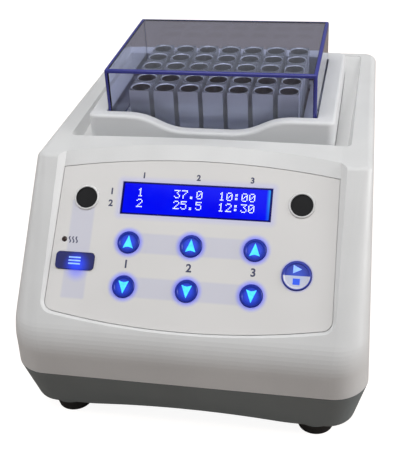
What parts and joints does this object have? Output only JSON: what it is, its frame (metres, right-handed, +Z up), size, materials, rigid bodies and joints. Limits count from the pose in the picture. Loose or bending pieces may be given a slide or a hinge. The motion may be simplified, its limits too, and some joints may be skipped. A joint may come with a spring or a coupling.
{
  "type": "dry bath incubator",
  "caption": "Bench-top dry bath with a block of round tube wells under a lift-off clear lid, on a casing with a sloping control panel with a display and keys",
  "frame": {"origin": "centre of the footprint on the plane of the feet", "axes": "+X to the right as the user faces the panel, +Y to the rear, +Z up"},
  "size_m": [0.2006, 0.249, 0.174],
  "materials": {
    "casing": "satin off-white ABS",
    "base": "satin dark grey ABS",
    "deck": "satin white heat-resistant plastic",
    "overlay": "fine-textured polycarbonate film",
    "badge": "black, bare",
    "display": "blue liquid-crystal display window",
    "key": "royal blue key cap",
    "dark_key": "navy key cap",
    "lamp": "unlit lamp",
    "rubber": "moulded black rubber",
    "steel": "zinc-plated steel",
    "brass": "nickel-plated brass",
    "lid": "clear tinted acrylic",
    "aluminium": "satin anodised",
    "foam": "silicone foam board",
    "ceramic": "alumina faces",
    "black_plastic": "glass-filled nylon",
    "board": "green solder mask on glass-epoxy board",
    "copper": null,
    "can": "sleeved aluminium can",
    "white_plastic": "nylon",
    "lead": "PVC-covered copper lead"
  },
  "bodies": {
    "casing": {"upper_housing": "casing", "lower_housing": "base", "rubber_feet": "rubber", "foot_screws": "steel", "case_screws": "steel", "stack_posts": "white_plastic", "post_screws": "steel", "control_overlay": "overlay", "left_badge": "badge", "right_badge": "badge", "display_window": "display", "display_module": "board", "key_switches": "black_plastic", "key_board": "board", "board_spacers": "white_plastic", "board_screws": "steel", "heating_lamp": "lamp", "well_deck": "deck", "deck_screws": "steel", "insulation_jacket": "foam", "heat_spreader": "aluminium", "stack_screws": "steel", "temperature_sensor": "steel", "cooling_modules": "ceramic", "heat_sink": "aluminium", "fan_frame": "black_plastic", "fan_bearing": "brass", "fan_screws": "steel", "mains_inlet": "black_plastic", "inlet_pins": "brass", "switch_frame": "black_plastic", "power_board": "board", "control_board": "board", "board_standoffs": "brass", "floor_screws": "steel", "power_transformer": "copper", "capacitors": "can", "mains_terminals": "white_plastic", "control_chips": "black_plastic", "board_sockets": "white_plastic", "thermal_cutout": "black_plastic", "mains_leads": "lead", "module_leads": "lead", "sensor_lead": "lead", "panel_ribbon": "white_plastic"},
    "lid": {"clear_lid": "lid"},
    "block": {"tube_block": "aluminium"},
    "rotor": {"fan_rotor": "black_plastic"},
    "rocker": {"power_rocker": "black_plastic"},
    "drawer": {"fuse_drawer": "black_plastic", "fuses": "ceramic"},
    "first_up_key": {"first_up_key": "key"},
    "first_down_key": {"first_down_key": "key"},
    "second_up_key": {"second_up_key": "key"},
    "second_down_key": {"second_down_key": "key"},
    "third_up_key": {"third_up_key": "key"},
    "third_down_key": {"third_down_key": "key"},
    "start_stop_key": {"start_stop_key": "key"},
    "program_key": {"program_key": "dark_key"}
  },
  "joints": [
    {"name": "block_lift", "type": "slide", "parent": "casing", "child": "block", "axis": [0, 0, 1], "range_m": [0, 0.07]},
    {"name": "lid_lift", "type": "slide", "parent": "block", "child": "lid", "axis": [0, 0, 1], "range_m": [0, 0.12]},
    {"name": "fan_spin", "type": "hinge", "parent": "casing", "child": "rotor", "pos_m": [0, 0.0345, 0.0327], "axis": [0, 0, 1], "continuous": true},
    {"name": "rocker_tilt", "type": "hinge", "parent": "casing", "child": "rocker", "pos_m": [0.012, 0.1175, 0.066], "axis": [1, 0, 0], "range_deg": [-18, 0]},
    {"name": "drawer_slide", "type": "slide", "parent": "casing", "child": "drawer", "axis": [0, 1, 0], "range_m": [0, 0.016]},
    {"name": "first_up_key_press", "type": "slide", "parent": "casing", "child": "first_up_key", "axis": [0, 0.7071, -0.7071], "range_m": [0, 0.0005], "stiffness_N_per_m": 1500},
    {"name": "first_down_key_press", "type": "slide", "parent": "casing", "child": "first_down_key", "axis": [0, 0.7071, -0.7071], "range_m": [0, 0.0005], "stiffness_N_per_m": 1500},
    {"name": "second_up_key_press", "type": "slide", "parent": "casing", "child": "second_up_key", "axis": [0, 0.7071, -0.7071], "range_m": [0, 0.0005], "stiffness_N_per_m": 1500},
    {"name": "second_down_key_press", "type": "slide", "parent": "casing", "child": "second_down_key", "axis": [0, 0.7071, -0.7071], "range_m": [0, 0.0005], "stiffness_N_per_m": 1500},
    {"name": "third_up_key_press", "type": "slide", "parent": "casing", "child": "third_up_key", "axis": [0, 0.7071, -0.7071], "range_m": [0, 0.0005], "stiffness_N_per_m": 1500},
    {"name": "third_down_key_press", "type": "slide", "parent": "casing", "child": "third_down_key", "axis": [0, 0.7071, -0.7071], "range_m": [0, 0.0005], "stiffness_N_per_m": 1500},
    {"name": "start_stop_key_press", "type": "slide", "parent": "casing", "child": "start_stop_key", "axis": [0, 0.7071, -0.7071], "range_m": [0, 0.0005], "stiffness_N_per_m": 1500},
    {"name": "program_key_press", "type": "slide", "parent": "casing", "child": "program_key", "axis": [0, 0.7071, -0.7071], "range_m": [0, 0.0005], "stiffness_N_per_m": 1500}
  ]
}
